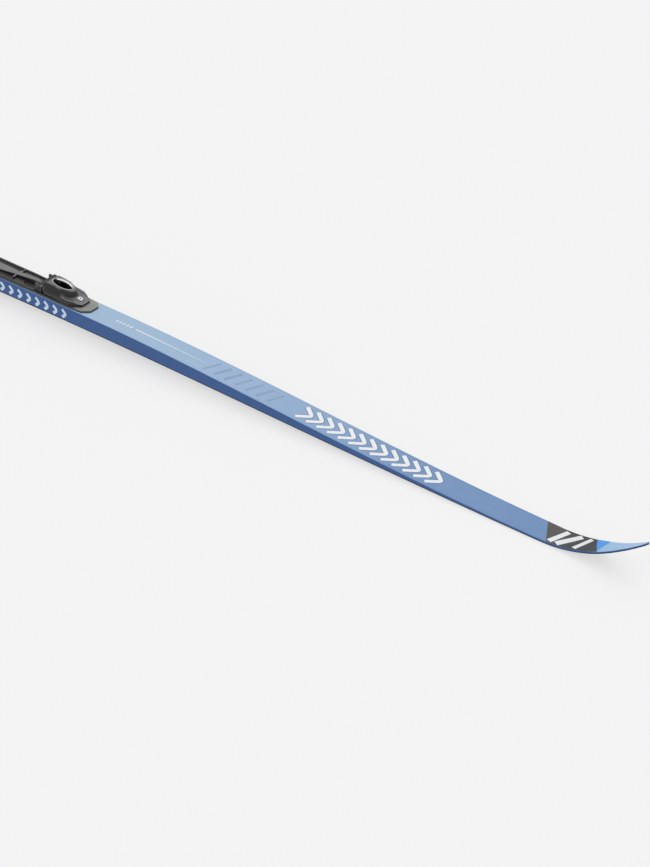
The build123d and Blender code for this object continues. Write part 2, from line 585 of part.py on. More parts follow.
def heel_plate():
    """Plate under the heel with a low steering ridge and two recesses for rubber."""
    rear = HEEL_FRONT_X - HEEL_LENGTH
    top = TOP_Z + HEEL_PLATE_THICK
    plate = plan_shape(both_sides([
        (HEEL_FRONT_X, HEEL_HALF_WIDTH - 6), (HEEL_FRONT_X - 12, HEEL_HALF_WIDTH),
        (rear + 12, HEEL_HALF_WIDTH), (rear, HEEL_HALF_WIDTH - 6)]), TOP_Z, top)
    plate = chamfer(plate.faces().sort_by(Axis.Z)[-1].edges(), 1.0)
    ridge = side_shape([(HEEL_FRONT_X - 4, top - 1), (HEEL_FRONT_X - 12, top + 2), (HEEL_FRONT_X - 24, top + 2),
                        (HEEL_FRONT_X - 30, top + 6), (rear + 26, top + 6), (rear + 20, top + 2),
                        (rear + 8, top + 2), (rear + 4, top - 1)], -5.5, 5.5)
    return plate + ridge - screw_room(HEEL_SCREWS, HEEL_SEAT_Z) - heel_pad()


def heel_pad():
    """Two rubber strips let into the heel plate."""
    rear = HEEL_FRONT_X - HEEL_LENGTH
    top = TOP_Z + HEEL_PLATE_THICK
    strip = slab(rear + 12, HEEL_FRONT_X - 12, 7.5, HEEL_HALF_WIDTH - 2.5, top - 1.2, top - 1.2 + HEEL_PAD_THICK)
    strip = fillet(strip.edges().filter_by(Axis.Z), 3.0)
    return mirrored(strip)


def build():
    outline = outline_prism(0)
    inner = outline_prism(SIDEWALL)
    parts = {
        "running_base": running_base(outline),
        "topsheet": topsheet(outline),
        **inner_layers(inner),
        **sidewalls(outline, inner),
        **end_pieces(outline),
        "binding_base": binding_base(),
        "toe_bar_saddle": toe_bar_saddle(),
        "latch_jaw": latch_jaw(),
        "jaw_spring": jaw_spring(),
        "hinge_pins": hinge_pins(),
        "drive_pin": drive_pin(),
        "lever": lever(),
        "lever_collar": lever_collar(),
        "lever_grip_strip": lever_grip_strip(),
        "lever_badge": lever_badge(),
        "flexor": flexor(),
        "boot_plate": boot_plate(),
        "heel_plate": heel_plate(),
        "heel_pad": heel_pad(),
        "base_screws": Compound(children=[screw(x, y, FLOOR_TOP_Z) for x, y in BASE_SCREWS]),
        "plate_screws": Compound(children=[screw(x, y, PLATE_SEAT_Z) for x, y in PLATE_SCREWS]),
        "heel_screws": Compound(children=[screw(x, y, HEEL_SEAT_Z) for x, y in HEEL_SCREWS]),
    }
    os.makedirs("parts", exist_ok=True)
    for name, shape in parts.items():
        export_step(shape, f"parts/{name}.step")


build()
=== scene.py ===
import logging
import math
from collections.abc import Callable, Iterable, Sequence
from dataclasses import dataclass, field
from enum import Enum

import bpy
from mathutils import Matrix, Vector


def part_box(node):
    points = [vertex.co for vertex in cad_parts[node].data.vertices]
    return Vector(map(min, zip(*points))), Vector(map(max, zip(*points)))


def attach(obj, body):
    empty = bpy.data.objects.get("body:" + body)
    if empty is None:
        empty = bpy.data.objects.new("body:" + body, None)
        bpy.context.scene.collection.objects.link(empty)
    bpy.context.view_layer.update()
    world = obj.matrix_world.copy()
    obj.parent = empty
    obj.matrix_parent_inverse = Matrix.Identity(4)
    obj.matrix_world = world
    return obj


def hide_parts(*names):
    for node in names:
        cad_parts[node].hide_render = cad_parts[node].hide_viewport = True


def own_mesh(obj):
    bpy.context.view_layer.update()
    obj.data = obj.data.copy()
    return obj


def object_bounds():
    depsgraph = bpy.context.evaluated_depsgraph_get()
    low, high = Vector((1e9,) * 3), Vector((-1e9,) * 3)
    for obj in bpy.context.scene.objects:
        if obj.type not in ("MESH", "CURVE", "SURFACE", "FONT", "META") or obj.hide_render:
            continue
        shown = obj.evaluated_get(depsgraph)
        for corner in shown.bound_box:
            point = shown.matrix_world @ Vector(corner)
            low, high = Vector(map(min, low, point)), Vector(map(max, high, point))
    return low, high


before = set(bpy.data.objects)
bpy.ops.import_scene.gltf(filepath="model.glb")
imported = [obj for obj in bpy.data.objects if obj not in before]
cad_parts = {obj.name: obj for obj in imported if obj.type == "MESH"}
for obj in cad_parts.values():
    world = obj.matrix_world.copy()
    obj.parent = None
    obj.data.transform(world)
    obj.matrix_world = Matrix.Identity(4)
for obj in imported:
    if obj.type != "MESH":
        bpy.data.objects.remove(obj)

CAD_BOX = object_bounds()
LOG = logging.getLogger("ski")
MM = 0.001
SHARP_EDGE = 50.0

Path = Callable[[float], tuple[float, float]]


class Side(Enum):
    """The ski's two long sides, as signs of Y."""

    LEFT = 1
    RIGHT = -1


class Body(Enum):
    """The bodies that a piece can ride on."""

    SKI = "ski"
    LEVER = "lever"
    JAW = "jaw"


def linear(red: int, green: int, blue: int) -> tuple[float, float, float, float]:
    """Turn a display colour into the scene's linear colour.

    Args:
        red: red, 0 to 255.
        green: green, 0 to 255.
        blue: blue, 0 to 255.

    Returns:
        The linear colour with full alpha.
    """

    def channel(value: int) -> float:
        share = value / 255
        return share / 12.92 if share <= 0.04045 else ((share + 0.055) / 1.055) ** 2.4

    return channel(red), channel(green), channel(blue), 1.0


def clamp(value: float, low: float = 0.0, high: float = 1.0) -> float:
    """Return value held between low and high."""
    return max(low, min(high, value))


def smooth_step(value: float) -> float:
    """Return an eased share for a share from 0 to 1."""
    share = clamp(value)
    return share * share * (3 - 2 * share)


def through(points: Sequence[tuple[float, float]]) -> Callable[[float], float]:
    """Make a smooth line through points, which never overshoots them.

    Args:
        points: (x, y) pairs with rising x.

    Returns:
        A function from x to y that holds its end values outside the points.
    """
    xs = [p[0] for p in points]
    ys = [p[1] for p in points]
    slopes = [(ys[i + 1] - ys[i]) / (xs[i + 1] - xs[i]) for i in range(len(xs) - 1)]
    tangents = [slopes[0]]
    for before, after in zip(slopes, slopes[1:]):
        tangents.append(0.0 if before * after <= 0 else 2 * before * after / (before + after))
    tangents.append(slopes[-1])

    def value(x: float) -> float:
        if x <= xs[0]:
            return ys[0]
        if x >= xs[-1]:
            return ys[-1]
        i = max(k for k in range(len(xs) - 1) if xs[k] <= x)
        span = xs[i + 1] - xs[i]
        t = (x - xs[i]) / span
        rise = (1 - t) ** 2 * ((1 + 2 * t) * ys[i] + t * span * tangents[i])
        return rise + t * t * ((3 - 2 * t) * ys[i + 1] - (1 - t) * span * tangents[i + 1])

    return value


# ---------------------------------------------------------------- shader groups


class Shader:
    """A node tree with short calls to add and join nodes."""

    def __init__(self, tree: bpy.types.NodeTree) -> None:
        """Keep the tree that nodes are added to."""
        self.tree = tree

    def node(self, kind: str, **settings: object) -> bpy.types.Node:
        """Add a node.

        Args:
            kind: the node's Blender type.
            settings: attributes to set on it.

        Returns:
            The new node.
        """
        made = self.tree.nodes.new(kind)
        for name, value in settings.items():
            setattr(made, name, value)
        return made

    def feed(self, node: bpy.types.Node, **values: object) -> bpy.types.Node:
        """Set or link a node's inputs, by name with underscores for spaces.

        Args:
            node: the node whose inputs are fed.
            values: a number, a colour or an output socket for each input.

        Returns:
            The same node.
        """
        for name, value in values.items():
            socket = node.inputs[int(name[1:])] if name[1:].isdigit() else node.inputs[name.replace("_", " ")]
            if isinstance(value, bpy.types.NodeSocket):
                self.tree.links.new(value, socket)
            else:
                socket.default_value = value
        return node

    def math(self, operation: str, first: object, second: object = 0.0) -> bpy.types.NodeSocket:
        """Return the result of a Math node on two values or sockets."""
        made = self.node("ShaderNodeMath", operation=operation)
        return self.feed(made, i0=first, i1=second).outputs[0]

    def between(self, value: bpy.types.NodeSocket, low: float, high: float) -> bpy.types.NodeSocket:
        """Return 0 below low, 1 above high and an eased share between them."""
        made = self.node("ShaderNodeMapRange", interpolation_type="SMOOTHSTEP")
        return self.feed(made, Value=value, From_Min=low, From_Max=high).outputs[0]

    def noise(self, scale: object, detail: float, vector: bpy.types.NodeSocket) -> bpy.types.NodeSocket:
        """Return a noise texture's value over a vector."""
        made = self.node("ShaderNodeTexNoise")
        return self.feed(made, Scale=scale, Detail=detail, Vector=vector).outputs[0]

    def ramp(
        self, share: bpy.types.NodeSocket, stops: Sequence[tuple[float, Sequence[float]]]
    ) -> bpy.types.NodeSocket:
        """Return a colour that runs through stops as share goes from 0 to 1."""
        made = self.node("ShaderNodeValToRGB")
        elements = made.color_ramp.elements
        while len(elements) < len(stops):
            elements.new(0.5)
        for element, (place, colour) in zip(elements, stops):
            element.position = place
            element.color = colour
        return self.feed(made, Fac=share).outputs[0]

    def blend(self, share: object, first: object, second: object) -> bpy.types.NodeSocket:
        """Return a mix of two colours."""
        made = self.node("ShaderNodeMix", data_type="RGBA")
        return self.feed(made, i0=share, i6=first, i7=second).outputs[2]

    def stretched(self, x: float, y: float, z: float) -> bpy.types.NodeSocket:
        """Return Object coordinates scaled along each axis."""
        place = self.node("ShaderNodeTexCoord").outputs["Object"]
        made = self.node("ShaderNodeMapping")
        return self.feed(made, Vector=place, Scale=(x, y, z)).outputs[0]


class Effects:
    """The shader node groups that several finishes share, each made once."""

    def __init__(self) -> None:
        """Build every group."""
        self.grain = self._grain()
        self.wear = self._wear()
        self.mottle = self._mottle()
        self.brushed = self._brushed()

    @staticmethod
    def _group(
        name: str, numbers: dict[str, float], colours: Sequence[str], outputs: dict[str, str]
    ) -> tuple[bpy.types.NodeTree, Shader, bpy.types.Node, bpy.types.Node]:
        """Make an empty group with named sockets and return it with its two ends."""
        tree = bpy.data.node_groups.new(name, "ShaderNodeTree")
        for label, value in numbers.items():
            socket = tree.interface.new_socket(label, in_out="INPUT", socket_type="NodeSocketFloat")
            socket.default_value = value
        for label in colours:
            tree.interface.new_socket(label, in_out="INPUT", socket_type="NodeSocketColor")
        for label, kind in outputs.items():
            tree.interface.new_socket(label, in_out="OUTPUT", socket_type=kind)
        shader = Shader(tree)
        return tree, shader, shader.node("NodeGroupInput"), shader.node("NodeGroupOutput")

    def _grain(self) -> bpy.types.NodeTree:
        """Moulded or lacquered surface grain, as a height and a roughness."""
        tree, shader, start, end = self._group(
            "surface_grain",
            {"Scale": 2500.0, "Roughness": 0.4, "Spread": 0.1},
            (),
            {"Height": "NodeSocketFloat", "Roughness": "NodeSocketFloat"},
        )
        place = shader.stretched(1, 1, 1)
        fine = shader.noise(start.outputs["Scale"], 3.0, place)
        broad = shader.noise(60.0, 3.0, place)
        swing = shader.math("MULTIPLY", shader.math("SUBTRACT", broad, 0.5), start.outputs["Spread"])
        rough = shader.math("ADD", start.outputs["Roughness"], shader.math("MULTIPLY", swing, 2.0))
        shader.feed(end, Height=fine, Roughness=rough)
        return tree

    def _wear(self) -> bpy.types.NodeTree:
        """Lighter, scuffed edges over a colour."""
        tree, shader, start, end = self._group(
            "edge_wear",
            {"Amount": 0.4, "Width": 0.06},
            ("Color", "Edge Color"),
            {"Color": "NodeSocketColor", "Mask": "NodeSocketFloat"},
        )
        point = shader.node("ShaderNodeNewGeometry").outputs["Pointiness"]
        above = shader.math("DIVIDE", shader.math("SUBTRACT", point, 0.5), start.outputs["Width"])
        broken = shader.noise(180.0, 4.0, shader.stretched(1, 1, 1))
        held = shader.math("MINIMUM", shader.math("MAXIMUM", above, 0.0), 1.0)
        mask = shader.math("MULTIPLY", held, broken)
        mask = shader.math("MULTIPLY", mask, start.outputs["Amount"])
        mixed = shader.blend(mask, start.outputs["Color"], start.outputs["Edge Color"])
        shader.feed(end, Color=mixed, Mask=mask)
        return tree

    def _mottle(self) -> bpy.types.NodeTree:
        """Slight, uneven lightening and darkening of a colour."""
        tree, shader, start, end = self._group(
            "mottle",
            {"Scale": 120.0, "Amount": 0.08},
            ("Color",),
            {"Color": "NodeSocketColor"},
        )
        cloud = shader.noise(start.outputs["Scale"], 5.0, shader.stretched(0.35, 1, 1))
        swing = shader.math("MULTIPLY", shader.math("SUBTRACT", cloud, 0.5), start.outputs["Amount"])
        bright = shader.math("ADD", 1.0, shader.math("MULTIPLY", swing, 2.0))
        tone = shader.node("ShaderNodeHueSaturation")
        shader.feed(tone, Value=bright, Color=start.outputs["Color"])
        shader.feed(end, Color=tone.outputs[0])
        return tree

    def _brushed(self) -> bpy.types.NodeTree:
        """Fine lines along Y, as on drawn or ground steel."""
        tree, shader, _, end = self._group("brushed", {}, (), {"Height": "NodeSocketFloat"})
        lines = shader.noise(1.0, 2.0, shader.stretched(9000, 250, 9000))
        shader.feed(end, Height=lines)
        return tree

    @staticmethod
    def use(shader: Shader, tree: bpy.types.NodeTree, **values: object) -> bpy.types.Node:
        """Place a group in a material with its own values.

        Args:
            shader: the material's tree.
            tree: the group.
            values: what each input is fed.

        Returns:
            The group's node.
        """
        made = shader.node("ShaderNodeGroup")
        made.node_tree = tree
        return shader.feed(made, **values)


EFFECTS = Effects()


# ---------------------------------------------------------------- finishes


@dataclass(frozen=True)
class Finish:
    """What every finish has: a name, a colour and a gloss."""

    name: str
    colour: tuple[float, float, float, float]
    roughness: float = 0.4
    coat: float = 0.0
    metallic: float = 0.0
    grain: float = 2500.0
    depth: float = 0.03
    mottle: float = 0.08
    wear: float = 0.0
    edge: tuple[float, float, float, float] = (0.5, 0.5, 0.52, 1.0)
    # painted top light: a paler colour painted on faces that look up, above a height and inside x and y
    # bounds, standing in for lit tops
    painted_top_light: tuple[float, float, float, float] | None = None
    painted_top_light_low: float = -1.0
    painted_top_light_high: float = -0.99
    painted_top_light_x: tuple[float, float] = (-2.0, -1.9)
    painted_top_light_y: tuple[float, float] = (1.9, 2.0)

    def base(self, shader: Shader) -> bpy.types.NodeSocket:
        """Return the colour before wear and mottling, with painted top light: paler on the faces that look
        up.
        """
        if self.painted_top_light is None:
            made = shader.node("ShaderNodeRGB")
            made.outputs[0].default_value = self.colour
            return made.outputs[0]
        # painted top light: blend towards the paler colour where the normal looks up, above a height and
        # inside the x and y bounds
        spot = shader.node("ShaderNodeTexCoord")
        place = shader.feed(shader.node("ShaderNodeSeparateXYZ"), i0=spot.outputs["Object"])
        facing = shader.feed(shader.node("ShaderNodeSeparateXYZ"), i0=spot.outputs["Normal"])
        share = shader.between(facing.outputs[2], 0.55, 0.97)
        raised = shader.between(place.outputs[2], self.painted_top_light_low, self.painted_top_light_high)
        share = shader.math("MULTIPLY", share, raised)
        share = shader.math("MULTIPLY", share, shader.between(place.outputs[0], *self.painted_top_light_x))
        outer = shader.between(shader.math("ABSOLUTE", place.outputs[1]), *self.painted_top_light_y)
        share = shader.math("MULTIPLY", share, shader.math("SUBTRACT", 1.0, outer))
        return shader.blend(share, self.colour, self.painted_top_light)

    def height(self, shader: Shader, grain: bpy.types.NodeSocket) -> bpy.types.NodeSocket:
        """Return the relief, which is the grain alone on a plain finish."""
        return grain

    def material(self) -> bpy.types.Material:
        """Build the material, once, and return it."""
        found = bpy.data.materials.get(self.name)
        if found:
            return found
        made = bpy.data.materials.new(self.name)
        made.use_nodes = True
        shader = Shader(made.node_tree)
        glossy = made.node_tree.nodes["Principled BSDF"]
        tone = EFFECTS.use(shader, EFFECTS.mottle, Color=self.base(shader), Amount=self.mottle)
        colour = tone.outputs["Color"]
        if self.wear:
            worn = EFFECTS.use(shader, EFFECTS.wear, Color=colour, Edge_Color=self.edge, Amount=self.wear)
            colour = worn.outputs["Color"]
        texture = EFFECTS.use(shader, EFFECTS.grain, Scale=self.grain, Roughness=self.roughness)
        relief = self.height(shader, texture.outputs["Height"])
        bump = shader.feed(shader.node("ShaderNodeBump"), Height=relief, Strength=self.depth, Distance=0.001)
        shader.feed(
            glossy,
            Base_Color=colour,
            Roughness=texture.outputs["Roughness"],
            Normal=bump.outputs[0],
            Metallic=self.metallic,
            Coat_Weight=self.coat,
            Coat_Roughness=0.12,
        )
        return made


@dataclass(frozen=True)
class Steel(Finish):
    """Ground steel, with its lines in the relief."""

    metallic: float = 1.0
    roughness: float = 0.28

    def height(self, shader: Shader, grain: bpy.types.NodeSocket) -> bpy.types.NodeSocket:
        """Return the lines of the grinding."""
        return EFFECTS.use(shader, EFFECTS.brushed).outputs["Height"]


@dataclass(frozen=True)
class Rubber(Finish):
    """Matt rubber with a coarse moulded grain."""

    roughness: float = 0.75
    grain: float = 1400.0
    depth: float = 0.12


@dataclass(frozen=True)
class FadedPrint(Finish):
    """The top's print, whose blue deepens from the binding to the shoulders, with faint slanted streaks."""

    stops: tuple[tuple[float, tuple[float, float, float, float]], ...] = ()
    start: float = 0.0
    end: float = 1.0

    def base(self, shader: Shader) -> bpy.types.NodeSocket:
        """Return the colour along the ski."""
        place = shader.node("ShaderNodeSeparateXYZ")
        shader.feed(place, i0=shader.node("ShaderNodeTexCoord").outputs["Object"])
        ahead = shader.math("SUBTRACT", place.outputs[0], self.start)
        along = shader.math("DIVIDE", ahead, self.end - self.start)
        shares = [((x - self.start) / (self.end - self.start), colour) for x, colour in self.stops]
        colour = shader.ramp(along, shares)
        streak = shader.noise(1.0, 2.0, shader.stretched(28, 900, 1))
        faint = shader.math("MULTIPLY", shader.math("SUBTRACT", streak, 0.5), 0.22)
        tone = shader.node("ShaderNodeHueSaturation")
        return shader.feed(tone, Value=shader.math("ADD", 1.0, faint), Color=colour).outputs[0]


@dataclass(frozen=True)
class GroundBase(Finish):
    """Black running surface with the fine lines of a stone grind."""

    def height(self, shader: Shader, grain: bpy.types.NodeSocket) -> bpy.types.NodeSocket:
        """Return long, fine lines along the ski."""
        lines = shader.noise(1.0, 2.0, shader.stretched(60, 2600, 1))
        return shader.math("ADD", lines, shader.math("MULTIPLY", grain, 0.3))


LIGHT_BLUE = linear(152, 184, 212)
SOFT_BLUE = linear(136, 168, 204)
MID_BLUE = linear(88, 132, 182)
DEEP_BLUE = linear(78, 124, 178)
TIP_BLUE = linear(150, 188, 230)

PRINT = FadedPrint(
    "topsheet_print", LIGHT_BLUE, 0.38, coat=0.15, depth=0.01, mottle=0.06,
    start=-0.9, end=1.14,
    stops=(
        (-0.88, DEEP_BLUE), (-0.5, MID_BLUE), (-0.2, SOFT_BLUE), (0.1, LIGHT_BLUE),
        (0.42, SOFT_BLUE), (0.56, linear(118, 155, 197)), (0.72, MID_BLUE), (0.95, DEEP_BLUE),
        (1.062, DEEP_BLUE), (1.064, TIP_BLUE), (1.13, TIP_BLUE),
    ),
)
SIDEWALL = Finish("sidewall_blue", linear(27, 82, 146), 0.42, coat=0.1, depth=0.02, mottle=0.12)
RUNNING = GroundBase("running_base_black", linear(16, 26, 50), 0.5, depth=0.08, mottle=0.1)
WHITE_INK = Finish("white_ink", linear(232, 235, 238), 0.4, coat=0.2, depth=0.01, mottle=0.03)
HALO_INK = Finish("halo_ink", linear(66, 106, 156), 0.4, coat=0.2, depth=0.01, mottle=0.05)
GHOST_INK = Finish("ghost_ink", linear(116, 148, 186), 0.4, coat=0.2, depth=0.01, mottle=0.05)
BLACK_INK = Finish("black_ink", linear(32, 30, 31), 0.42, coat=0.1, depth=0.01, mottle=0.15)
SKY_INK = Finish("sky_ink", linear(40, 148, 236), 0.4, coat=0.2, depth=0.01, mottle=0.05)
PALE_INK = Finish("pale_ink", linear(206, 224, 246), 0.4, coat=0.2, depth=0.01, mottle=0.04)
# painted top light: the grey painted on the plates' central ridge tops
PAINTED_TOP_GREY = linear(112, 112, 114)
NYLON = Finish("glass_filled_nylon", linear(20, 20, 21), 0.46, depth=0.10, mottle=0.25, wear=0.5,
               edge=linear(96, 96, 100))
# painted top light: the base plate's nose, from x = 70 mm forward, is painted a paler grey on its faces that
# look up
BASE_NYLON = Finish("base_nylon", linear(20, 20, 21), 0.44, depth=0.10, mottle=0.25, wear=0.6,
                    edge=linear(120, 120, 122), painted_top_light=linear(138, 138, 134), painted_top_light_low=-0.0098,
                    painted_top_light_high=-0.0094, painted_top_light_x=(0.070, 0.080))
# painted shade and painted top light: the plates' near-black colour, which the other binding nylon shares,
# also stands in for the shade in their recesses; the grey on the central ridge's faces that look up is
# painted top light
PLATE_NYLON = Finish("plate_nylon", linear(17, 17, 18), 0.46, depth=0.10, mottle=0.25, wear=0.5,
                     edge=linear(110, 110, 112), painted_top_light=PAINTED_TOP_GREY, painted_top_light_low=-0.0066, painted_top_light_high=-0.0058,
                     painted_top_light_y=(0.0105, 0.0115))
# painted top light: the lever's faces that look up are painted a paler grey over the near-black nylon
LEVER_NYLON = Finish("lever_nylon", linear(12, 12, 13), 0.36, depth=0.06, mottle=0.2, wear=0.5,
                     edge=linear(120, 120, 124), coat=0.06, painted_top_light=linear(92, 92, 94))
# painted top light: the collar's faces that look up are painted a paler grey; its gloss and coat are real
COLLAR = Finish("polished_collar", linear(96, 96, 100), 0.24, coat=0.4, depth=0.01, wear=0.5,
                edge=linear(190, 190, 195), painted_top_light=linear(150, 150, 154))
WHITE_PLASTIC = Finish("white_plastic", linear(240, 241, 243), 0.34, coat=0.2, depth=0.02, mottle=0.03)
DARK_INK = Finish("dark_plate_ink", linear(36, 38, 42), 0.4, depth=0.02)
STEEL = Steel("ground_steel", linear(196, 198, 202), depth=0.06, mottle=0.06)
BLACK_STEEL = Steel("black_oxide_steel", linear(34, 34, 36), 0.4, depth=0.06, mottle=0.1, wear=0.5,
                    edge=linear(130, 130, 134))
RUBBER = Rubber("moulded_rubber", linear(18, 18, 19), mottle=0.2, wear=0.3)
LAMINATE = Finish("fibre_laminate", linear(190, 186, 160), 0.45, depth=0.05)
CORE = Finish("light_core", linear(205, 180, 140), 0.6, depth=0.08, mottle=0.25)


# ---------------------------------------------------------------- hand tools


def deselect() -> None:
    """Leave nothing selected."""
    if bpy.context.object and bpy.context.object.mode != "OBJECT":
        bpy.ops.object.mode_set(mode="OBJECT")
    bpy.ops.object.select_all(action="DESELECT")


def choose(piece: bpy.types.Object) -> None:
    """Select one piece and make it active."""
    deselect()
    piece.select_set(True)
    bpy.context.view_layer.objects.active = piece


def apply_modifier(piece: bpy.types.Object, kind: str, **settings: object) -> None:
    """Add a modifier with settings and apply it."""
    choose(piece)
    added = piece.modifiers.new(kind.lower(), kind)
    for name, value in settings.items():
        setattr(added, name, value)
    bpy.ops.object.modifier_apply(modifier=added.name)


def thicken(piece: bpy.types.Object, wall: float, offset: float) -> None:
    """Give a sheet a wall in millimetres, on the side that offset says."""
    apply_modifier(piece, "SOLIDIFY", thickness=wall * MM, offset=offset)


def bevel(piece: bpy.types.Object, width: float) -> None:
    """Round a piece's sharp edges by a width in millimetres."""
    apply_modifier(piece, "BEVEL", width=width * MM, segments=2, limit_method="ANGLE",
                   angle_limit=math.radians(SHARP_EDGE))


def settle(piece: bpy.types.Object, angle: float = 35.0) -> None:
    """Recalculate a closed piece's normals and shade it smooth up to an angle."""
    choose(piece)
    bpy.ops.object.mode_set(mode="EDIT")
    bpy.ops.mesh.select_all(action="SELECT")
    bpy.ops.mesh.remove_doubles(threshold=1e-6)
    bpy.ops.mesh.normals_make_consistent(inside=False)
    bpy.ops.object.mode_set(mode="OBJECT")
    bpy.ops.object.shade_smooth_by_angle(angle=math.radians(angle))


def grid(name: str, across: int, along: int, place: Callable[[float, float], Vector]) -> bpy.types.Object:
    """Add a grid and lay it on a surface.

    Args:
        name: the piece's name.
        across: number of steps in the first direction.
        along: number of steps in the second direction.
        place: the surface, from two shares in 0 to 1 to a point in metres.

    Returns:
        The piece, an open sheet.
    """
    deselect()
    bpy.ops.mesh.primitive_grid_add(x_subdivisions=across, y_subdivisions=along, size=1.0)
    piece = bpy.context.object
    piece.name = name
    for vertex in piece.data.vertices:
        vertex.co = place(vertex.co.x + 0.5, vertex.co.y + 0.5)
    return piece


def join(pieces: Sequence[bpy.types.Object], name: str) -> bpy.types.Object:
    """Join pieces into one, under a name."""
    deselect()
    for piece in pieces:
        piece.select_set(True)
    bpy.context.view_layer.objects.active = pieces[0]
    if len(pieces) > 1:
        bpy.ops.object.join()
    pieces[0].name = name
    return pieces[0]


def finish_piece(
    piece: bpy.types.Object, finish: Finish, body: Body, slot: str, replaces: Iterable[str] = ()
) -> bpy.types.Object:
    """Dress a piece, put it on its body and report it.

    Args:
        piece: the finished mesh.
        finish: its finish.
        body: the body that it rides on.
        slot: the record's material slot; not used.
        replaces: CAD nodes that it stands for.

    Returns:
        The piece.
    """
    for vertex in piece.data.vertices:
        for axis in range(3):
            vertex.co[axis] = clamp(vertex.co[axis], CAD_BOX[0][axis], CAD_BOX[1][axis])
    piece.data.materials.clear()
    piece.data.materials.append(finish.material())
    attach(piece, body.value)
    if replaces:
        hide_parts(*replaces)
    LOG.info("%s: %d faces", piece.name, len(piece.data.polygons))
    return piece


def dress(node: str, finish: Finish) -> None:
    """Give a CAD node a finish."""
    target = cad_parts[node]
    if not target.data.materials:
        target.data.materials.append(finish.material())
    for i in range(len(target.data.materials)):
        target.data.materials[i] = finish.material()
    LOG.info("%s keeps its CAD shape", node)


def copied(node: str, flatten: bool) -> bpy.types.Object:
    """Copy a CAD node as a merged mesh.

    Args:
        node: the node.
        flatten: whether triangles that lie in one plane become one face.

    Returns:
        The copy.
    """
    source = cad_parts[node]
    piece = bpy.data.objects.new(f"{node}_body", source.data.copy())
    bpy.context.scene.collection.objects.link(piece)
    choose(piece)
    bpy.ops.object.mode_set(mode="EDIT")
    bpy.ops.mesh.select_all(action="SELECT")
    bpy.ops.mesh.remove_doubles(threshold=1e-6)
    if flatten:
        bpy.ops.mesh.dissolve_limited(angle_limit=math.radians(1.5))
    bpy.ops.object.mode_set(mode="OBJECT")
    return piece


def softened(node: str, radius: float, segments: int = 2) -> bpy.types.Object:
    """Copy a CAD node and round its edges.

    Args:
        node: the node.
        radius: the rounding, in metres.
        segments: steps of the rounding.

    Returns:
        The copy, merged, with rounded edges.
    """
    piece = copied(node, flatten=True)
    apply_modifier(piece, "BEVEL", width=radius, segments=segments, limit_method="ANGLE",
                   angle_limit=math.radians(28), use_clamp_overlap=True)
    choose(piece)
    bpy.ops.object.shade_smooth_by_angle(angle=math.radians(32))
    return piece


# ---------------------------------------------------------------- ski body


